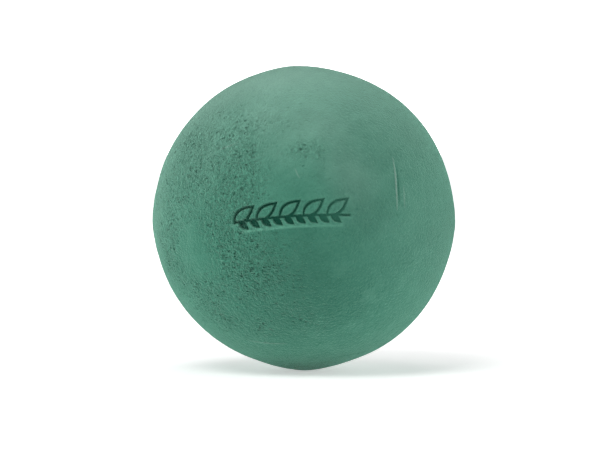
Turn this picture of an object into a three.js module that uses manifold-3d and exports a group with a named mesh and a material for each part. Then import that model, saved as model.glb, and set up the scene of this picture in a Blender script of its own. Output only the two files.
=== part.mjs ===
// Floral foam sphere: one solid ball of rigid open-cell foam, with the shallow blunt peaks that
// shaping leaves at its poles and a leaf-spray maker's stamp pressed into its front.
// Millimetres, +Z up. The ball stands on the origin and the stamp faces -Y.
import * as THREE from 'three';
import * as BufferGeometryUtils from 'three/addons/utils/BufferGeometryUtils.js';
import Module from 'manifold-3d';

const wasm = await Module();
wasm.setup();

// Driving dimensions
const DIAMETER = 120;
const RADIUS = DIAMETER / 2;
const AROUND = 72;
const RINGS = 44;
const WELD_DISTANCE = 1e-4;

// Each peak: the way it points (degrees from +X towards +Z, in the plane that faces the front),
// its height above the ball and the angle over which it falls away.
const PEAKS = {
  top: { bearing: 95.5, height: 0.8, reach: 20 },
  bottom: { bearing: 270, height: 1.3, reach: 20 },
  left: { bearing: 182, height: 0.7, reach: 16 },
  right: { bearing: 357, height: 0.55, reach: 15 },
};
const PEAK_BLUNTNESS = 0.05;
const PEAK_FALL = 1.25;

// The stamp: a row of outlined leaves on a bent stem, over a row of small solid buds.
const STAMP_DEPTH = 1.2;
const STAMP_TURN = { left: 5.0, up: 4.0, roll: 4 };
const STEM = { length: 45, width: 1.0, height: -1.6, sag: 0.9, steps: 12 };
const LEAF = { count: 5, length: 10.8, width: 5.4, stroke: 1.1, lean: 35 };
const BUD = { count: 9, length: 5.0, width: 2.6, lean: -40 };
const LEAF_STEPS = 7;

// A leaf is widest nearer its base the further this is under 1.
const LEAF_TAPER = 0.8;

// What an outlined leaf leaves standing: how far in from its base, and how much shorter and
// narrower than the leaf, in widths of the stroke.
const STANDING = { inset: 1.6, shorter: 3.6, narrower: 2 };

// How far the die reaches out past the ball.
const DIE_REACH = 6;

const foam = new THREE.MeshStandardMaterial({ color: 0x4f8470, roughness: 0.95, metalness: 0 });

/** The height that the peaks add to the ball in one direction, a unit vector. */
function peakHeight(direction) {
  let height = 0;
  for (const peak of Object.values(PEAKS)) {
    const bearing = THREE.MathUtils.degToRad(peak.bearing);
    const axis = new THREE.Vector3(Math.cos(bearing), 0, Math.sin(bearing));
    const away = axis.angleTo(direction) / THREE.MathUtils.degToRad(peak.reach);
    const blunted = Math.hypot(away, PEAK_BLUNTNESS);
    height += peak.height * Math.max(0, 1 - blunted) ** PEAK_FALL;
  }
  return height;
}

/** A geometry whose faces share their vertices, so that it closes. */
function welded(geometry) {
  geometry.deleteAttribute('normal');
  geometry.deleteAttribute('uv');
  return BufferGeometryUtils.mergeVertices(geometry, WELD_DISTANCE);
}

/** A closed ball with its poles on the Z axis, each vertex pushed out by the peaks. */
function ballGeometry(radius) {
  const geometry = welded(new THREE.SphereGeometry(radius, AROUND, RINGS));
  geometry.rotateX(Math.PI / 2);
  const position = geometry.attributes.position;
  const direction = new THREE.Vector3();
  for (let i = 0; i < position.count; i += 1) {
    direction.fromBufferAttribute(position, i).normalize();
    direction.multiplyScalar(radius + peakHeight(direction));
    position.setXYZ(i, direction.x, direction.y, direction.z);
  }
  return geometry;
}

/** A welded three.js geometry as a manifold-3d solid. */
function toSolid(geometry) {
  return new wasm.Manifold(new wasm.Mesh({
    numProp: 3,
    vertProperties: Float32Array.from(geometry.attributes.position.array),
    triVerts: Uint32Array.from(geometry.index.array),
  }));
}

/** A manifold-3d solid as a three.js geometry. */
function toGeometry(solid) {
  const mesh = solid.getMesh();
  const geometry = new THREE.BufferGeometry();
  geometry.setAttribute('position', new THREE.BufferAttribute(mesh.vertProperties, 3));
  geometry.setIndex(new THREE.BufferAttribute(mesh.triVerts, 1));
  geometry.computeVertexNormals();
  return geometry;
}

/** The height of the stem at a place along it: it bends down by its sag towards both ends. */
function stemHeight(along) {
  return STEM.height - STEM.sag * (2 * along / STEM.length) ** 2;
}

/** A pointed leaf, counter-clockwise, that grows from the origin along +X, widest near its base. */
function leafPoints(length, width) {
  const lower = [];
  for (let i = 0; i <= LEAF_STEPS; i += 1) {
    const t = i / LEAF_STEPS;
    lower.push(new THREE.Vector2(length * t, -0.5 * width * Math.sin(Math.PI * t ** LEAF_TAPER)));
  }
  const upper = lower.slice(1, -1).reverse().map((p) => new THREE.Vector2(p.x, -p.y));
  return [...lower, ...upper];
}

/** A leaf turned by its lean and moved to the place where it grows. */
function placed(points, lean, base) {
  return points.map((p) => p.clone().rotateAround(new THREE.Vector2(), lean).add(base));
}

/** The leaves that are only outlined: a pointed leaf with a smaller one left standing inside. */
function outlinedLeaves() {
  const lean = THREE.MathUtils.degToRad(LEAF.lean);
  const pitch = (STEM.length - LEAF.length * Math.cos(lean)) / (LEAF.count - 1);
  const length = LEAF.length - STANDING.shorter * LEAF.stroke;
  const width = LEAF.width - STANDING.narrower * LEAF.stroke;
  const inset = new THREE.Vector2(STANDING.inset * LEAF.stroke, 0);
  const inner = leafPoints(length, width).map((p) => p.add(inset));
  const shapes = [];
  for (let i = 0; i < LEAF.count; i += 1) {
    const along = i * pitch - STEM.length / 2;
    const base = new THREE.Vector2(along, stemHeight(along));
    const shape = new THREE.Shape(placed(leafPoints(LEAF.length, LEAF.width), lean, base));
    shape.holes.push(new THREE.Path(placed(inner, lean, base)));
    shapes.push(shape);
  }
  return shapes;
}

/** The small solid buds that hang in a row below the stem. */
function buds() {
  const lean = THREE.MathUtils.degToRad(BUD.lean);
  const pitch = (STEM.length - BUD.length) / BUD.count;
  const shapes = [];
  for (let i = 0; i < BUD.count; i += 1) {
    const along = (i + 0.5) * pitch - STEM.length / 2;
    const base = new THREE.Vector2(along, stemHeight(along));
    shapes.push(new THREE.Shape(placed(leafPoints(BUD.length, BUD.width), lean, base)));
  }
  return shapes;
}

/** The bent stem, a strip of even width. */
function stem() {
  const upper = [];
  for (let i = 0; i <= STEM.steps; i += 1) {
    const along = STEM.length * (i / STEM.steps - 0.5);
    upper.push(new THREE.Vector2(along, stemHeight(along) + STEM.width / 2));
  }
  const lower = upper.map((p) => new THREE.Vector2(p.x, p.y - STEM.width)).reverse();
  return new THREE.Shape([...upper, ...lower]);
}

/** The stamp's die: every outline pushed straight in from the front, to its depth under the ball. */
function stampDie() {
  const core = toSolid(ballGeometry(RADIUS - STAMP_DEPTH));
  const settings = { depth: RADIUS + DIE_REACH, bevelEnabled: false };
  let die = null;
  for (const shape of [stem(), ...outlinedLeaves(), ...buds()]) {
    const geometry = welded(new THREE.ExtrudeGeometry(shape, settings));
    geometry.rotateZ(THREE.MathUtils.degToRad(STAMP_TURN.roll));
    geometry.rotateX(Math.PI / 2);
    geometry.rotateX(-THREE.MathUtils.degToRad(STAMP_TURN.up));
    geometry.rotateZ(-THREE.MathUtils.degToRad(STAMP_TURN.left));
    const piece = toSolid(geometry);
    die = die ? die.add(piece) : piece;
  }
  return die.subtract(core);
}

const ball = toSolid(ballGeometry(RADIUS)).subtract(stampDie());
const sphere = new THREE.Mesh(toGeometry(ball), foam);
sphere.name = 'foam_sphere';
sphere.position.z = RADIUS + peakHeight(new THREE.Vector3(0, 0, -1));

const group = new THREE.Group();
group.name = 'floral_foam_sphere';
group.add(sphere);

export default group;
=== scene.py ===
"""A floral foam sphere: one ball of rigid open-cell foam with a leaf-spray stamp in its front."""
import math

import bpy
import numpy as np
from mathutils import Matrix, Vector, kdtree, noise


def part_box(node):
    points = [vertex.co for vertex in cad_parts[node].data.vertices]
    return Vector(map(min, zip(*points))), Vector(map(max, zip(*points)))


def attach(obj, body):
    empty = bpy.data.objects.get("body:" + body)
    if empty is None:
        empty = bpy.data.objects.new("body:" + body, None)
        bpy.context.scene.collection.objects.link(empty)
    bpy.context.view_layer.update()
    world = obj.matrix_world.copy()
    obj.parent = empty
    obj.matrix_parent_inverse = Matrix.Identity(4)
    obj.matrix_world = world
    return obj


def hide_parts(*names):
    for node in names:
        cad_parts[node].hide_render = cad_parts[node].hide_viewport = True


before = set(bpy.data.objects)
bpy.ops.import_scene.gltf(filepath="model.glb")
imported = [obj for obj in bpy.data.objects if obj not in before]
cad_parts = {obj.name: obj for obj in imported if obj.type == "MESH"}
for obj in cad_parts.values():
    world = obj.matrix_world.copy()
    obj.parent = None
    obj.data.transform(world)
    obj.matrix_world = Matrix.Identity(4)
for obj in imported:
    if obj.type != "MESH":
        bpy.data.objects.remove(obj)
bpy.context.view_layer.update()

MM = 0.001
DEGREE = math.pi / 180

# The ball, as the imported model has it: no peak reaches its front or its back, so its depth is its
# diameter, and it stands on the origin.
LOW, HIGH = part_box("foam_sphere")
RADIUS = (HIGH[1] - LOW[1]) / 2

# Mesh: cells along each edge of the cube that is blown up into the ball, and how many times finer
# they are at the stamp than an even mesh.
CELLS = 128
CROWDING = 2.6

# Each peak or swelling of the ball: the way it points (degrees from +X towards +Z, in the plane
# that faces the front), its height and the angle over which it falls away.
PEAKS = {
    "top": {"bearing": 95.5, "height": 0.8 * MM, "reach": 20},
    "bottom": {"bearing": 270, "height": 1.3 * MM, "reach": 20},
    "left": {"bearing": 182, "height": 0.7 * MM, "reach": 16},
    "right": {"bearing": 357, "height": 0.55 * MM, "reach": 15},
}
PEAK_BLUNTNESS = 0.05
PEAK_FALL = 1.25

# Broad swellings between the peaks, given in the same way.
SWELLINGS = {
    "upper_right": {"bearing": 45, "height": 0.3 * MM, "reach": 30},
    "upper_left": {"bearing": 121, "height": 0.35 * MM, "reach": 28},
    "lower_right": {"bearing": 308, "height": 0.35 * MM, "reach": 30},
}

# The unevenness of the skin. Each kind of noise has the size of its features, its octaves, its seed
# and how much it is squeezed along each axis (its features are longer where that is under 1), and
# most have a height. The strokes that shaping left lean from level by their slant.
STROKE_SLANT = -40 * DEGREE
EVENLY = (1, 1, 1)
BROAD = {"height": 0.10 * MM, "size": 38 * MM, "octaves": 2, "seed": 3.1, "squeeze": EVENLY}
RIPPLE = {"height": 0.035 * MM, "size": 7 * MM, "octaves": 3, "seed": 9.4, "squeeze": EVENLY}
STROKES = {"height": 0.035 * MM, "size": 3.2 * MM, "octaves": 2, "seed": 5.5, "squeeze": (0.16, 0.5, 1)}
VALLEYS = {"height": 0.13 * MM, "size": 2.3 * MM, "octaves": 2, "seed": 7.7, "squeeze": (0.7, 0.7, 1)}
CRUMBS = {"height": 0.05 * MM, "size": 1.5 * MM, "octaves": 1, "seed": 12.3, "squeeze": EVENLY}
PATCHES = {"size": 20 * MM, "octaves": 3, "seed": 1.9, "squeeze": EVENLY}

# How open the skin is: everywhere, what patches add to that, what the places listed below add, what
# patches add to those, and how open the patches behind are.
OPENNESS = {"all": 0.08, "patches": 0.12, "listed": 0.6, "listed_patches": 0.6, "behind": 0.8}

# A mark is only looked for this near its middle or its start: the cosine of the angle between them.
NEAR_A_MARK = 0.5

# The stamp, in its own plane: along its stem and square to it, from its middle. Its edge is a low
# ridge under the buds, as long to either side as its reach, a share of the stem's length. Half of a
# stroke's sloping wall is as wide as WALL.
STAMP_DEPTH = 1.2 * MM
STAMP_TURN = {"left": 5.0 * DEGREE, "up": 4.0 * DEGREE, "roll": 4 * DEGREE}
STEM = {"length": 45 * MM, "width": 1.0 * MM, "height": -1.6 * MM, "sag": 0.9 * MM}
LEAF = {"count": 5, "length": 10.8 * MM, "width": 5.4 * MM, "stroke": 1.1 * MM, "lean": 35 * DEGREE}
BUD = {"count": 9, "length": 5.0 * MM, "width": 2.6 * MM, "lean": -40 * DEGREE}
EDGE = {"drop": 4.1 * MM, "half_width": 0.45 * MM, "height": 0.25 * MM, "reach": 0.43}
WALL = 0.22 * MM

# A leaf is widest nearer its base the further this is under 1.
LEAF_TAPER = 0.8

# How much less the stamp is pressed towards its right end and how much more in its lower row, from
# where to where (shares of the stem's length along it, or distances below the stamp's middle), and
# the most of its depth that the two may come to.
FADING = {"share": 0.5, "from": -0.3, "to": 0.5}
LOWER_ROW = {"share": 0.25, "from": 1.5 * MM, "to": 3 * MM}
DEEPEST_SHARE = 1.15

# The foam pushed up beside the strokes: its height and width, what is added to it low in the stamp,
# from where to where below the stamp's middle, and how pale it is painted there, a painted highlight
# where the walls below the strokes face the light.
RIM = {"height": 0.13 * MM, "width": 0.8 * MM, "added": 1.5, "from": 1.5 * MM, "to": 4 * MM, "pale": 0.35}

# The open pits: how many, and the seed of their places. Half a pit's length is drawn in millimetres,
# as a logarithm's mean and spread, and kept within limits. Half its width is a share of that, or the
# least if that is more, and its depth is a share of half its width. It is tilted (mean and spread,
# in radians) and bent, and there are more where the skin is open: its coarseness to a power, and a
# few elsewhere. It is painted with shade, deeper where the pit is deeper, and darkest from its full
# shade down.
PIT_COUNT = 9000
PIT_SEED = 11
PIT_LOG_LENGTH = (-0.85, 0.35)
PIT_HALF_LENGTH = (0.3, 0.9)
PIT_WIDTH_SHARE = (0.3, 0.6)
PIT_HALF_WIDTH = 0.24 * MM
PIT_DEPTH_SHARE = (0.3, 0.8)
PIT_TILT = (0.15, 0.6)
PIT_BEND = 0.25
PIT_POWER = 1.5
PIT_ELSEWHERE = 0.003
PIT_FULL_SHADE = 0.5 * MM

# Each list of places below gives degrees left of the front's middle and above it, the angle from
# there to where the place ends, and an amount.

# Where the skin lies open in pits, or is smeared over (amount under 0), and how much so.
OPEN = (
    ((33, 37), 24, 0.7),
    ((31, 24), 22, 0.6),
    ((56, 25), 26, 0.8),
    ((25, 14), 18, 0.6),
    ((62, 10), 22, 0.6),
    ((42, 8), 18, 0.6),
    ((33, -1), 18, 0.6),
    ((64, -9), 20, 0.8),
    ((22, -15), 22, 0.8),
    ((13, -24), 18, 0.6),
    ((49, -29), 26, 0.8),
    ((34, -39), 22, 0.7),
    ((1, -38), 16, 0.5),
    ((3, 27), 7, 0.5),
    ((-5, 28), 7, 0.5),
    ((88, 15), 28, 0.5),
    ((49, -12), 14, -0.55),
)

# Where the green is broadly paler, or darker (amount under 0), beside what it is elsewhere: for the
# most part painted light and shade, darker low on the front, darkest at the bottom where the ball sits
# on the table, paler towards the upper left and along the left side, with some uneven colour besides.
BASE_TONE = 0.835
PAINTED_LIGHT_AND_TONES = (
    ((-2, -16), 42, -0.22),
    ((-50, 37), 34, -0.14),
    ((-35, 45), 24, 0.08),
    ((-19, -12), 26, 0.07),
    ((52, -6), 22, -0.1),
    ((34, 36), 20, 0.24),
    ((64, 2), 18, 0.07),
    ((-66, 25), 26, -0.08),
    ((-22, 2), 16, -0.11),
    ((-30, 16), 26, -0.1),
    ((40, -68), 30, 0.06),
    ((0, -84), 26, -0.5),
    ((8, -62), 50, -0.07),
    ((70, 0), 40, 0.16),
    ((62, -36), 24, 0.16),
    ((20, 16), 14, 0.1),
    ((18, 42), 22, 0.14),
    ((0, 58), 32, 0.05),
    ((-2, 30), 14, 0.17),
    ((35, 68), 42, 0.35),
    ((-15, 62), 30, 0.1),
)

# Where pale grey-green is painted on the skin, besides on the upper side: pale dust in a few small
# patches on the front, and painted highlight over the right side and along both rims; the share it hides.
HAZE_AND_HIGHLIGHT = (
    ((-45, 2), 52, 0.085),
    ((-18, 16), 17, 0.12),
    ((-7, 32), 20, 0.08),
    ((46, 22), 16, 0.04),
    ((20, 41), 12, 0.06),
    ((76, 0), 30, 0.1),
    ((-78, -15), 30, 0.05),
)

# The painted highlight of pale grey-green over the upper side, standing in for the lamps above: how
# strong it is, and the way it faces most, leaning to the left.
TOP_HIGHLIGHT = 0.46
TOP_HIGHLIGHT_WAY = (-0.27, 0, 1)

# Where the skin is clouded with paler green, or less than elsewhere (amount under 0).
CLOUDED = (
    ((6.8, 25.2), 7, 0.8),
    ((43, 19), 8, 0.55),
    ((-26, 14), 10, 0.6),
    ((-17.7, 38), 6, 0.5),
    ((2.5, 51), 8, 0.4),
    ((-21.9, 5.4), 7, 0.35),
    ((-4, 35), 6, 0.5),
    ((-9, 17.5), 4, 0.5),
    ((-28.5, -28.5), 6, 0.5),
    ((-3, -48.5), 8, 0.5),
    ((-28.9, 48), 7, -0.7),
    ((-24.2, 37), 5, -0.7),
    ((-31, 26.5), 10, -0.5),
    ((-6, 18.5), 6, -0.6),
    ((-10, 29), 6, -0.5),
    ((-28.6, -14.6), 7, -0.6),
    ((-59, -21), 9, -0.5),
    ((2, -38), 8, -0.4),
    ((58, -7.6), 7, -0.5),
    ((26, -31), 9, -0.3),
    ((-48, 8), 9, 0.4),
    ((-60, 30), 10, -0.4),
    ((-45, -38), 9, -0.4),
    ((-16, -24), 7, -0.4),
    ((14, 52), 9, -0.4),
    ((28, 58), 8, 0.4),
    ((38, -18), 8, -0.4),
)

# Thin ridges (rise over 0) and scratches: both ends as degrees left of the front's middle and
# above it, half the width and the rise; and how far each of them wanders off its straight line.
SCRATCHES = (
    ((-38.5, 25), (-36.4, 3.5), 0.36 * MM, 0.32 * MM),
    ((-39.4, 22), (-37.6, 5.5), 0.38 * MM, -0.42 * MM),
    ((-41.0, 14), (-40.2, 4), 0.4 * MM, 0.16 * MM),
    ((3.9, 20.5), (1.4, 16), 0.35 * MM, 0.15 * MM),
    ((38, 27), (29, 30.5), 0.35 * MM, 0.2 * MM),
    ((37, -51), (9, -52.5), 0.45 * MM, 0.22 * MM),
    ((-24, -64), (-62, -58), 0.5 * MM, -0.3 * MM),
    ((64, -12), (65, -21), 0.3 * MM, -0.22 * MM),
    ((44, -27), (40, -31), 0.3 * MM, -0.2 * MM),
    ((41, 4), (40.5, -1), 0.28 * MM, -0.16 * MM),
    ((40.5, -1), (33, -1.5), 0.28 * MM, -0.12 * MM),
    ((31, -4), (26.5, -2.5), 0.28 * MM, -0.2 * MM),
)
WANDER = 0.08 * MM


def bottom_peak():
    """How far the peak under the ball lifts the ball's middle."""
    return PEAKS["bottom"]["height"] * (1 - PEAK_BLUNTNESS) ** PEAK_FALL


CENTRE = np.array([0, 0, RADIUS + bottom_peak()])


# ---------------------------------------------------------------- directions on the ball

def heading(left, up):
    """The unit vector from the ball's middle to a place left of the front's middle and above it."""
    return np.array([-math.sin(left) * math.cos(up), -math.cos(left) * math.cos(up), math.sin(up)])


def frame_at(middle, roll=0.0):
    """Two unit vectors that lie on the ball at a place: along and up, turned by a roll."""
    along = np.cross(middle, [0, 0, 1])
    along = -along / np.linalg.norm(along)
    up = np.cross(middle, along)
    return math.cos(roll) * along + math.sin(roll) * up, math.cos(roll) * up - math.sin(roll) * along


def angle_between(directions, axis):
    """The angle from each direction to an axis."""
    return np.arccos(np.clip(directions @ axis, -1, 1))


def smooth(value, low, high):
    """0 below low and 1 above high, with a soft step between."""
    t = np.clip((value - low) / (high - low), 0, 1)
    return t * t * (3 - 2 * t)


def spread(directions, place, reach):
    """1 at a place on the ball, given in degrees left and up, and 0 from its reach outwards."""
    away = angle_between(directions, heading(*np.multiply(place, DEGREE)))
    return smooth(1 - away / (reach * DEGREE), 0, 1)


def total(directions, places):
    """The amounts of a list of places, added up in each direction."""
    return sum(amount * spread(directions, place, reach) for place, reach, amount in places)


def fractal(points, kind):
    """Smooth noise of one kind at each point, from about -1 to 1."""
    shift = Vector((kind["seed"], 2.3 * kind["seed"], -1.7 * kind["seed"]))
    return np.array([
        noise.fractal(Vector(point) / kind["size"] + shift, 1.0, 2.0, kind["octaves"])
        for point in points * np.array(kind["squeeze"])
    ])


def blown_up_cube():
    """Unit directions and four-cornered faces of a cube blown up into an even ball."""
    steps = np.tan(np.linspace(-math.pi / 4, math.pi / 4, CELLS + 1))
    steps[[0, -1]] = -1, 1
    across, up = np.meshgrid(steps, steps, indexing="ij")
    corner = np.arange((CELLS + 1) ** 2).reshape(CELLS + 1, CELLS + 1)
    quads = np.stack([corner[:-1, :-1], corner[1:, :-1], corner[1:, 1:], corner[:-1, 1:]], axis=-1)
    quads = quads.reshape(-1, 4)
    points, faces = [], []
    for axis in range(3):
        for side in (1, -1):
            plate = np.stack([np.full_like(across, side), across, up], axis=-1).reshape(-1, 3)
            faces.append((quads if side > 0 else quads[:, ::-1]) + len(points) * len(plate))
            points.append(np.roll(plate, axis, axis=-1))
    points = np.concatenate(points)
    points /= np.linalg.norm(points, axis=1, keepdims=True)
    _, first, shared = np.unique(
        np.round(points, 6), axis=0, return_index=True, return_inverse=True
    )
    return points[first], shared.reshape(-1)[np.concatenate(faces)]


def crowded(directions, middle):
    """The directions drawn towards a place on the ball, so that the cells there are finer."""
    away = angle_between(directions, middle)
    nearer = 2 * np.arctan(np.tan(away / 2) / CROWDING)
    sideways = directions - np.cos(away)[:, None] * middle
    length = np.linalg.norm(sideways, axis=1, keepdims=True)
    sideways = sideways / np.maximum(length, 1e-12)
    return np.cos(nearer)[:, None] * middle + np.sin(nearer)[:, None] * sideways


# ---------------------------------------------------------------- shape of the ball

def share_away(directions, bump):
    """How far each direction is from a bump's top, as a share of the bump's reach."""
    bearing = bump["bearing"] * DEGREE
    axis = np.array([math.cos(bearing), 0, math.sin(bearing)])
    return angle_between(directions, axis) / (bump["reach"] * DEGREE)


def bumps(directions):
    """The height that the blunt peaks and the broad swellings add to the ball."""
    height = np.zeros(len(directions))
    for peak in PEAKS.values():
        away = np.hypot(share_away(directions, peak), PEAK_BLUNTNESS)
        height += peak["height"] * np.maximum(0, 1 - away) ** PEAK_FALL
    for swelling in SWELLINGS.values():
        height += swelling["height"] * smooth(1 - share_away(directions, swelling), 0, 1)
    return height


def unevenness(points, coarse):
    """Broad unevenness, the fine ripple and slanting strokes that shaping left, and open skin."""
    turned = points @ np.array(Matrix.Rotation(STROKE_SLANT, 3, "Y"))
    height = BROAD["height"] * fractal(points, BROAD)
    height += RIPPLE["height"] * fractal(points, RIPPLE)
    height += STROKES["height"] * fractal(turned, STROKES)
    valleys = np.minimum(1, 3 * np.abs(fractal(points, VALLEYS)))
    crumbs = fractal(points, CRUMBS)
    return height + coarse * (VALLEYS["height"] * valleys + CRUMBS["height"] * crumbs)


# ---------------------------------------------------------------- the stamp

def stem_height(along):
    """The height of the stem at a place along it: it bends down by its sag towards both ends."""
    return STEM["height"] - STEM["sag"] * (2 * along / STEM["length"]) ** 2


def leaf_inside(along, up, base, lean, length, width):
    """How far inside a pointed leaf each place is, less than 0 outside it."""
    x = along - base[0]
    y = up - base[1]
    lengthwise = x * math.cos(lean) + y * math.sin(lean)
    crosswise = y * math.cos(lean) - x * math.sin(lean)
    t = np.clip(lengthwise / length, 0, 1)
    half = 0.5 * width * np.sin(math.pi * t ** LEAF_TAPER)
    past_the_ends = np.maximum(-lengthwise, lengthwise - length)
    return np.where(past_the_ends > 0, -np.hypot(past_the_ends, crosswise), half - np.abs(crosswise))


def outlined_leaf(along, up, base):
    """How far inside the stroke of an outlined leaf each place is."""
    outer = leaf_inside(along, up, base, LEAF["lean"], LEAF["length"], LEAF["width"])
    return np.minimum(outer, LEAF["stroke"] - outer)


def stamp_inside(along, up):
    """How far inside the stamp's strokes each place is, less than 0 outside all of them."""
    on_stem = STEM["width"] / 2 - np.abs(up - stem_height(along))
    inside = np.minimum(on_stem, STEM["length"] / 2 - np.abs(along))
    pitch = (STEM["length"] - LEAF["length"] * math.cos(LEAF["lean"])) / (LEAF["count"] - 1)
    for i in range(LEAF["count"]):
        start = i * pitch - STEM["length"] / 2
        inside = np.maximum(inside, outlined_leaf(along, up, (start, stem_height(start))))
    pitch = (STEM["length"] - BUD["length"]) / BUD["count"]
    for i in range(BUD["count"]):
        start = (i + 0.5) * pitch - STEM["length"] / 2
        base = (start, stem_height(start))
        bud = leaf_inside(along, up, base, BUD["lean"], BUD["length"], BUD["width"])
        inside = np.maximum(inside, bud)
    return inside


def stamp(directions):
    """The stamp's height; how far inside a stroke each place is; how hard it is pressed; its painted lip
    highlight.
    """
    middle = heading(STAMP_TURN["left"], STAMP_TURN["up"])
    along_axis, up_axis = frame_at(middle, STAMP_TURN["roll"])
    along = RADIUS * directions @ along_axis
    up = RADIUS * directions @ up_axis
    facing = directions @ middle > NEAR_A_MARK
    inside = np.full(len(directions), -RADIUS)
    inside[facing] = stamp_inside(along[facing], up[facing])
    pressed = smooth(inside, -WALL, WALL)
    share = along / STEM["length"]
    fading = 1 - FADING["share"] * smooth(share, FADING["from"], FADING["to"])
    lower_row = 1 + LOWER_ROW["share"] * smooth(-up, LOWER_ROW["from"], LOWER_ROW["to"])
    depth = STAMP_DEPTH * np.minimum(DEEPEST_SHARE, fading * lower_row)
    low_side = 1 + RIM["added"] * smooth(-up, RIM["from"], RIM["to"])
    rim = np.exp(-((np.maximum(0, -inside) / RIM["width"]) ** 2)) * (1 - pressed)
    below = np.exp(-(((up - stem_height(along) + EDGE["drop"]) / EDGE["half_width"]) ** 2))
    edge = np.where(np.abs(share) < EDGE["reach"], below, 0)
    raised = RIM["height"] * rim * low_side + EDGE["height"] * edge
    # The painted highlight on the lip: the low ridge under the buds and the foam pushed up beside the
    # strokes, most of all low in the stamp.
    lip = np.where(facing, np.minimum(1, edge + RIM["pale"] * rim * low_side), 0) * fading
    return np.where(facing, raised * fading - depth * pressed, 0), inside, fading, lip


# ---------------------------------------------------------------- pits and scratches

def coarseness(directions):
    """How open the skin is: 1 where the cells lie open in pits, 0 where it is smeared smooth."""
    points = directions * RADIUS
    patches = 0.5 + 1.1 * fractal(points, PATCHES)
    listed = np.clip(total(directions, OPEN), 0, 1)
    listed = listed * (OPENNESS["listed"] + OPENNESS["listed_patches"] * patches)
    behind = OPENNESS["behind"] * smooth(directions[:, 1], -0.1, 0.3) * smooth(patches, 0.3, 0.9)
    return np.clip(OPENNESS["all"] + OPENNESS["patches"] * patches + listed + behind, 0, 1)


def scatter(rng, count, chance):
    """Seeded places on the ball, more of them where the chance is greater."""
    found = []
    while len(found) < count:
        tries = rng.normal(size=(4 * count, 3))
        tries /= np.linalg.norm(tries, axis=1, keepdims=True)
        found.extend(tries[rng.random(len(tries)) < chance(tries)])
    return np.array(found[:count])


def pits(directions, tree):
    """The height of the open pits, below 0, and how deep in a pit each place is, from 0 to 1, for its
    painted shade.
    """
    rng = np.random.default_rng(PIT_SEED)
    height = np.zeros(len(directions))
    shade = np.zeros(len(directions))
    for middle in scatter(rng, PIT_COUNT, lambda d: coarseness(d) ** PIT_POWER + PIT_ELSEWHERE):
        long_half = MM * np.clip(rng.lognormal(*PIT_LOG_LENGTH), *PIT_HALF_LENGTH)
        short_half = max(PIT_HALF_WIDTH, long_half * rng.uniform(*PIT_WIDTH_SHARE))
        depth = rng.uniform(*PIT_DEPTH_SHARE) * short_half
        along, up = frame_at(middle, rng.normal(*PIT_TILT))
        near = [i for _, i, _ in tree.find_range(middle, 1.3 * long_half / RADIUS)]
        offset = (directions[near] - middle) * RADIUS
        bent = offset @ up - PIT_BEND * (offset @ along) ** 2 / long_half
        bowl = np.hypot(offset @ along / long_half, bent / short_half)
        fill = smooth(1 - bowl, 0, 0.6)
        height[near] = np.minimum(height[near], -depth * fill)
        shade[near] = np.maximum(shade[near], fill * depth / PIT_FULL_SHADE)
    return height, np.minimum(shade, 1)


def scratches(directions):
    """The height of the scratches and ridges, each a thin line between two places on the ball."""
    height = np.zeros(len(directions))
    for start, end, width, rise in SCRATCHES:
        first, last = heading(*np.multiply(start, DEGREE)), heading(*np.multiply(end, DEGREE))
        length = np.linalg.norm(last - first)
        along = (last - first) / length
        across = np.cross(first + last, along)
        across /= np.linalg.norm(across)
        offset = directions - first
        share = offset @ along / length
        near = (directions @ first > NEAR_A_MARK) & (share > 0) & (share < 1)
        wander = WANDER * np.sin(2.5 * math.pi * share)
        profile = np.exp(-(((RADIUS * (offset @ across) - wander) / width) ** 2))
        height += np.where(near, rise * profile * np.sin(math.pi * np.clip(share, 0, 1)) ** 0.5, 0)
    return height


def build_ball():
    """The foam ball's mesh, with what its material needs to know stored at each point."""
    even, faces = blown_up_cube()
    directions = crowded(even, heading(STAMP_TURN["left"], STAMP_TURN["up"]))
    tree = kdtree.KDTree(len(directions))
    for i, direction in enumerate(directions):
        tree.insert(direction, i)
    tree.balance()
    coarse = coarseness(directions)
    stamp_height, stamp_inside_by, stamp_press, stamp_lip_highlight = stamp(directions)
    pit_height, pit_shade = pits(directions, tree)
    scratch_height = scratches(directions)
    untouched = smooth(-stamp_inside_by, 0, WALL)
    distance = RADIUS + bumps(directions) + unevenness(directions * RADIUS, coarse)
    distance += stamp_height + (scratch_height + pit_height) * untouched
    points = directions * distance[:, None] + CENTRE
    points[:, 2] = np.maximum(points[:, 2], 0)
    mesh = bpy.data.meshes.new("foam_ball")
    mesh.from_pydata(points.tolist(), [], faces.tolist())
    mesh.polygons.foreach_set("use_smooth", [True] * len(mesh.polygons))
    # Painted highlight in pale grey-green over the upper side, leaning left, and over the right side and
    # rims, with pale dust in a few patches.
    highlight_and_dust = TOP_HIGHLIGHT * smooth(directions @ TOP_HIGHLIGHT_WAY, 0.02, 1.3) + total(directions, HAZE_AND_HIGHLIGHT)
    # Among these, for the material: broad painted light and shade, painted highlight over the upper side
    # and rims and on the lip, and painted shade in the pits and the stamp.
    kept = {
        "coarse": coarse, "clouded": total(directions, CLOUDED), "highlight_and_dust": highlight_and_dust,
        "tone_and_painted_light": BASE_TONE + total(directions, PAINTED_LIGHT_AND_TONES), "brushed": smooth(directions[:, 2], -0.1, 0.6),
        "pit": pit_shade * untouched, "scratch": scratch_height / MM,
        "stamp": np.maximum(stamp_inside_by / MM, -2), "press": stamp_press, "lip": stamp_lip_highlight,
    }
    for name, values in kept.items():
        mesh.attributes.new(name, "FLOAT", "POINT").data.foreach_set("value", values)
    mesh.update()
    ball = bpy.data.objects.new("foam_ball", mesh)
    bpy.context.scene.collection.objects.link(ball)
    return ball


# ---------------------------------------------------------------- material

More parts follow.
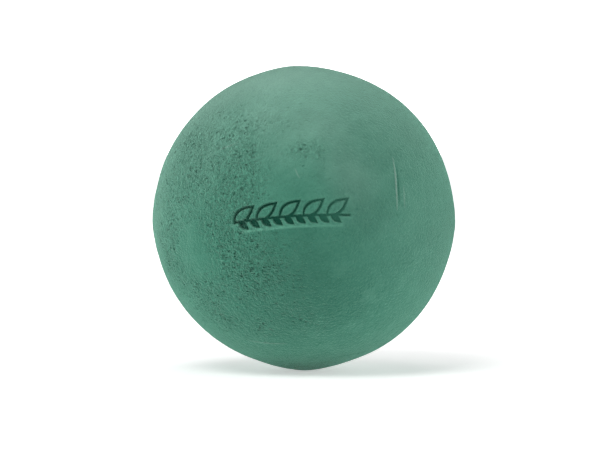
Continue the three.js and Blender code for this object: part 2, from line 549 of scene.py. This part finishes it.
def add(tree, kind, inputs=None, **settings):
    """A new node with its settings made and each input given a value or linked to a socket."""
    made = tree.nodes.new(kind)
    for name, value in settings.items():
        setattr(made, name, value)
    for name, value in (inputs or {}).items():
        if isinstance(value, bpy.types.NodeSocket):
            tree.links.new(value, made.inputs[name])
        else:
            made.inputs[name].default_value = value
    return made


def mixed(tree, factor, first, second):
    """A colour between two others."""
    made = add(tree, "ShaderNodeMix", data_type="RGBA")
    for index, value in ((0, factor), (6, first), (7, second)):
        if isinstance(value, bpy.types.NodeSocket):
            tree.links.new(value, made.inputs[index])
        else:
            made.inputs[index].default_value = value
    return made.outputs[2]


def ranged(tree, value, low, high, to_low=0.0, to_high=1.0):
    """A value remapped from one range to another and kept inside it."""
    inputs = {"Value": value, "From Min": low, "From Max": high, "To Min": to_low, "To Max": to_high}
    return add(tree, "ShaderNodeMapRange", inputs).outputs[0]


def noise_of(tree, vector, size, detail=3.0, roughness=0.5):
    """Noise with features of about one size, in metres."""
    inputs = {"Vector": vector, "Scale": 1 / size, "Detail": detail, "Roughness": roughness}
    return add(tree, "ShaderNodeTexNoise", inputs).outputs["Fac"]


def times(tree, first, second):
    """The product of two values."""
    return add(tree, "ShaderNodeMath", {0: first, 1: second}, operation="MULTIPLY").outputs[0]


DEEP_GREEN = (0.029, 0.187, 0.122, 1)
SOFT_GREEN = (0.040, 0.215, 0.142, 1)
DUSTY_GREEN = (0.070, 0.270, 0.186, 1)
# A pale green painted on the stamp's lip as a painted highlight.
LIP_HIGHLIGHT_GREEN = (0.130, 0.380, 0.270, 1)
# A pale grey-green painted as highlight over the upper side, the right side, the rims and the raised
# ridges, and as pale dust in a few patches.
PALE_HIGHLIGHT_DUST = (0.33, 0.42, 0.38, 1)
# A dark green painted as shade in the pits, pores, creases and scratches.
RECESS_SHADE_GREEN = (0.004, 0.095, 0.058, 1)
# A darker green painted as shade in the stamp's strokes.
STAMP_SHADE_GREEN = (0.0005, 0.070, 0.042, 1)

# The size of each feature that the material draws, and how strongly it colours the green.
SIZES = {
    "mottle": 14 * MM, "strokes": 3.5 * MM, "clouds": 6 * MM, "grain": 0.9 * MM, "crumbs": 1.5 * MM,
    "wide_creases": 2.1 * MM, "thin_creases": 1.3 * MM, "pores": 1.35 * MM, "pore_warp": 1.8 * MM,
}
# Of these strengths, the lip's and the ridges' are painted highlight, and the creases', pores', pits',
# scratches' and stamp's are painted shade.
STRENGTHS = {
    "strokes": 0.75, "clouds": 0.9, "gaps_in_clouds": 0.85, "grain": 0.7, "coarse": 0.35,
    "creases": 0.3, "pores": 0.75, "pits": 0.52, "lip": 0.6, "scratches": 0.5, "stamp": 0.95,
}

# The heights of the bumps that give the skin its fine relief.
BUMPS = {"grain": 1.02 * MM, "crumbs": 0.85 * MM, "creases": 0.45 * MM, "pores": 0.85 * MM}


def stored(tree, name):
    """A value that the mesh stores at each point."""
    return add(tree, "ShaderNodeAttribute", attribute_name=name).outputs["Fac"]


def foam_colour(tree, place, grain, crease, pore, coarse):
    """Mottled green, dusted paler in patches and strokes, with broad painted light and shade, painted
    highlight above and on ridges and lip, painted shade in creases, pores, pits, scratches and stamp.
    """
    mottle = ranged(tree, noise_of(tree, place, SIZES["mottle"], 4.0, 0.6), 0.36, 0.64)
    green = mixed(tree, mottle, DEEP_GREEN, SOFT_GREEN)
    turned = add(tree, "ShaderNodeMapping", {
        "Vector": place, "Rotation": (0, STROKE_SLANT, 0), "Scale": (5.5, 2.0, 1.0)
    }, vector_type="TEXTURE").outputs[0]
    strokes = noise_of(tree, turned, SIZES["strokes"], 3.0, 0.6)
    strokes = ranged(tree, strokes, 0.42, 0.62, 0.0, STRENGTHS["strokes"])
    green = mixed(tree, times(tree, strokes, stored(tree, "brushed")), green, DUSTY_GREEN)
    cloud = add(tree, "ShaderNodeMath", {
        0: times(tree, stored(tree, "clouded"), 0.3),
        1: noise_of(tree, place, SIZES["clouds"], 5.0, 0.6),
    }, operation="ADD").outputs[0]
    green = mixed(tree, ranged(tree, cloud, 0.49, 0.72, 0.0, STRENGTHS["clouds"]), green, DUSTY_GREEN)
    gaps = ranged(tree, cloud, 0.27, 0.49, STRENGTHS["gaps_in_clouds"], 0.0)
    green = mixed(tree, gaps, green, DEEP_GREEN)
    green = mixed(tree, ranged(tree, grain, 0.36, 0.66, 0.0, STRENGTHS["grain"]), green, DUSTY_GREEN)
    # Painted highlight over the upper side, the right side and the rims, with pale dust in a few patches.
    green = mixed(tree, stored(tree, "highlight_and_dust"), green, PALE_HIGHLIGHT_DUST)
    # Broad painted light and shade, with some uneven colour: darker low on the front and at the bottom,
    # paler towards the upper left.
    painted_light_toned = add(tree, "ShaderNodeVectorMath", {0: green, "Scale": stored(tree, "tone_and_painted_light")}, operation="SCALE")
    green = painted_light_toned.outputs[0]
    green = mixed(tree, times(tree, coarse, STRENGTHS["coarse"]), green, DUSTY_GREEN)
    # Painted shade in the creases and the open pores.
    green = mixed(tree, times(tree, crease, STRENGTHS["creases"]), green, RECESS_SHADE_GREEN)
    green = mixed(tree, times(tree, pore, STRENGTHS["pores"]), green, RECESS_SHADE_GREEN)
    # Painted shade in the pits, darker where they are deeper.
    green = mixed(tree, times(tree, stored(tree, "pit"), STRENGTHS["pits"]), green, RECESS_SHADE_GREEN)
    # Painted highlight on the stamp's lip.
    green = mixed(tree, times(tree, stored(tree, "lip"), STRENGTHS["lip"]), green, LIP_HIGHLIGHT_GREEN)
    # Painted highlight along the raised ridges, and painted shade in the scratches.
    ridge = ranged(tree, stored(tree, "scratch"), 0.04, 0.3, 0.0, STRENGTHS["scratches"])
    green = mixed(tree, ridge, green, PALE_HIGHLIGHT_DUST)
    scratch = ranged(tree, stored(tree, "scratch"), -0.25, -0.04, STRENGTHS["scratches"], 0.0)
    green = mixed(tree, scratch, green, RECESS_SHADE_GREEN)
    # Painted shade in the stamp's strokes, darkest where the stamp is pressed hardest.
    press = ranged(tree, stored(tree, "press"), 0.0, 0.8, 0.0, STRENGTHS["stamp"])
    pressed = times(tree, ranged(tree, stored(tree, "stamp"), -0.14, 0.14), press)
    return mixed(tree, pressed, green, STAMP_SHADE_GREEN)


def creases(tree, place, size, width):
    """1 along the broken lines of a net of thin creases about one size apart, 0 between them."""
    from_line = add(tree, "ShaderNodeMath", {
        0: noise_of(tree, place, size, 2.0, 0.6), 1: 0.5
    }, operation="SUBTRACT").outputs[0]
    away = add(tree, "ShaderNodeMath", {0: from_line}, operation="ABSOLUTE").outputs[0]
    line = ranged(tree, away, 0.0, width, 1.0, 0.0)
    gaps = ranged(tree, noise_of(tree, place, 0.8 * size, 1.0), 0.42, 0.56)
    return times(tree, line, gaps)


def pores(tree, place):
    """1 inside small open pores, most of them wider than high, and 0 between them."""
    scale = 1 / SIZES["pore_warp"]
    warp = add(tree, "ShaderNodeTexNoise", {"Vector": place, "Scale": scale, "Detail": 2.0})
    warped = add(tree, "ShaderNodeVectorMath", {
        0: warp.outputs["Color"], 1: (2.2 * MM,) * 3, 2: place
    }, operation="MULTIPLY_ADD").outputs[0]
    flattened = add(tree, "ShaderNodeMapping", {"Vector": warped, "Scale": (0.6, 0.6, 1.0)}).outputs[0]
    cells = add(tree, "ShaderNodeTexVoronoi", {"Vector": flattened, "Scale": 1 / SIZES["pores"]})
    inside = ranged(tree, cells.outputs["Distance"], 0.12, 0.34, 1.0, 0.0)
    luck = add(tree, "ShaderNodeSeparateColor", {"Color": cells.outputs["Color"]}).outputs[0]
    return times(tree, inside, ranged(tree, luck, 0.3, 0.7))


def bump(tree, height, distance, strength, below=None):
    """A bump of one height laid over another."""
    inputs = {"Height": height, "Distance": distance, "Strength": strength}
    if below:
        inputs["Normal"] = below
    return add(tree, "ShaderNodeBump", inputs).outputs[0]


def phenolic_foam():
    """Matt green foam with a fine cellular grain, coarse and open in places."""
    material = bpy.data.materials.new("open_cell_foam")
    material.use_nodes = True
    tree = material.node_tree
    shader = tree.nodes["Principled BSDF"]
    place = add(tree, "ShaderNodeTexCoord").outputs["Object"]
    coarse = stored(tree, "coarse")
    grain = noise_of(tree, place, SIZES["grain"], 3.0, 0.7)
    crumb = noise_of(tree, place, SIZES["crumbs"], 3.0, 0.6)
    wide = creases(tree, place, SIZES["wide_creases"], 0.12)
    thin = creases(tree, place, SIZES["thin_creases"], 0.10)
    net = add(tree, "ShaderNodeMath", {0: wide, 1: thin}, operation="MAXIMUM").outputs[0]
    crease = times(tree, net, coarse)
    pore = times(tree, pores(tree, place), coarse)
    colour = foam_colour(tree, place, grain, crease, pore, coarse)
    tree.links.new(colour, shader.inputs["Base Color"])
    tree.links.new(ranged(tree, grain, 0.3, 0.7, 0.85, 1.0), shader.inputs["Roughness"])
    shader.inputs["Specular IOR Level"].default_value = 0.3
    shader.inputs["Sheen Weight"].default_value = 0.45
    shader.inputs["Sheen Roughness"].default_value = 0.4
    shader.inputs["Sheen Tint"].default_value = (0.5, 1, 0.78, 1)

    fine = bump(tree, grain, BUMPS["grain"], ranged(tree, coarse, 0.0, 1.0, 0.8, 0.7))
    crumbly = bump(tree, crumb, BUMPS["crumbs"], ranged(tree, coarse, 0.1, 1.0, 0.15, 0.8), fine)
    creased = bump(tree, times(tree, crease, -1.0), BUMPS["creases"], 1.0, crumbly)
    pored = bump(tree, times(tree, pore, -1.0), BUMPS["pores"], 1.0, creased)
    tree.links.new(pored, shader.inputs["Normal"])
    return material


# ---------------------------------------------------------------- studio

FLOOR_SIZE = 12.0

# How strongly the table glows near the ball and from some way off, and where it turns from one
# into the other.
NEAR_GLOW = 0.46
FAR_GLOW = 0.95
NEAR = 0.08
FAR = 0.35

# The screens: the way to each one's middle and its brightness there, and how fast it falls away.
SCREENS = (((0, 1, 0), 1.06), ((-1, 0, 0), 1.5), ((1, 0, 0), 3.6))
SCREEN_FALL = 6.0

# How high the low pale backdrop around the room reaches, as the sine of its angle.
BACKDROP_TOP = 0.04

# The square lamps: place, width and power.
LAMPS = {
    "key": ((-0.35, -0.7, 0.95), 0.6, 8.1),
    "top": ((0, 0, 1.3), 0.8, 4.1),
    "rear_left": ((-1.0, 0.6, 0.4), 0.6, 1.9),
}


def studio_floor():
    """A plain white table that glows, more so away from the ball, as a light table does."""
    mesh = bpy.data.meshes.new("floor")
    half = FLOOR_SIZE / 2
    corners = [(-half, -half, 0), (half, -half, 0), (half, half, 0), (-half, half, 0)]
    mesh.from_pydata(corners, [], [(0, 1, 2, 3)])
    floor = bpy.data.objects.new("floor", mesh)
    material = bpy.data.materials.new("floor_acrylic")
    material.use_nodes = True
    tree = material.node_tree
    shader = tree.nodes["Principled BSDF"]
    place = add(tree, "ShaderNodeTexCoord").outputs["Object"]
    away = add(tree, "ShaderNodeVectorMath", {0: place}, operation="LENGTH").outputs["Value"]
    glow = ranged(tree, away, NEAR, FAR, NEAR_GLOW, FAR_GLOW)
    tree.links.new(glow, shader.inputs["Emission Strength"])
    shader.inputs["Base Color"].default_value = (0.85, 0.85, 0.85, 1)
    shader.inputs["Roughness"].default_value = 0.9
    shader.inputs["Specular IOR Level"].default_value = 0.1
    shader.inputs["Emission Color"].default_value = (1, 1, 1, 1)
    mesh.materials.append(material)
    bpy.context.scene.collection.objects.link(floor)


def softbox(name, place, size, power):
    """A square lamp that faces the ball."""
    lamp = bpy.data.lights.new(name, "AREA")
    lamp.shape = "SQUARE"
    lamp.size = size
    lamp.energy = power
    holder = bpy.data.objects.new(name, lamp)
    holder.location = place
    holder.rotation_euler = (Vector(CENTRE) - Vector(place)).to_track_quat("-Z", "Y").to_euler()
    bpy.context.scene.collection.objects.link(holder)


def surroundings():
    """A dark room, pale along its horizon, with white screens behind the ball and beside it."""
    world = bpy.data.worlds.new("studio")
    world.use_nodes = True
    tree = world.node_tree
    way = add(tree, "ShaderNodeTexCoord").outputs["Generated"]
    height = add(tree, "ShaderNodeSeparateXYZ", {"Vector": way}).outputs["Z"]
    strength = ranged(tree, height, BACKDROP_TOP, 1.5 * BACKDROP_TOP, 1.0, 0.0)
    for facing, brightness in SCREENS:
        towards = add(tree, "ShaderNodeVectorMath", {0: way, 1: facing}, operation="DOT_PRODUCT")
        kept = add(tree, "ShaderNodeMath", {0: towards.outputs["Value"], 1: 0.0}, operation="MAXIMUM")
        falling = add(tree, "ShaderNodeMath", {0: kept.outputs[0], 1: SCREEN_FALL}, operation="POWER")
        strength = add(tree, "ShaderNodeMath", {
            0: falling.outputs[0], 1: brightness, 2: strength
        }, operation="MULTIPLY_ADD").outputs[0]
    tree.links.new(strength, tree.nodes["Background"].inputs["Strength"])
    tree.nodes["Background"].inputs["Color"].default_value = (1, 1, 1, 1)
    bpy.context.scene.world = world
    bpy.context.scene.view_settings.view_transform = "Standard"


CAMERA_DISTANCE = 1.2
CAMERA_ELEVATION = 2 * DEGREE
CAMERA_LENS = 180.0
CAMERA_AIM = Vector((-1.6 * MM, 0, -3.0 * MM))


def camera():
    """The camera straight before the ball, a little above it."""
    lens = bpy.data.cameras.new("camera")
    lens.lens = CAMERA_LENS
    holder = bpy.data.objects.new("camera", lens)
    back = Vector((0, -math.cos(CAMERA_ELEVATION), math.sin(CAMERA_ELEVATION)))
    holder.location = Vector(CENTRE) + CAMERA_DISTANCE * back
    aim = Vector(CENTRE) + CAMERA_AIM
    holder.rotation_euler = (aim - holder.location).to_track_quat("-Z", "Y").to_euler()
    bpy.context.scene.collection.objects.link(holder)
    bpy.context.scene.camera = holder


ball = build_ball()
ball.data.materials.append(phenolic_foam())
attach(ball, "root")
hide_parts("foam_sphere")
studio_floor()
for name, (place, width, power) in LAMPS.items():
    softbox(name, place, width, power)
surroundings()
camera()
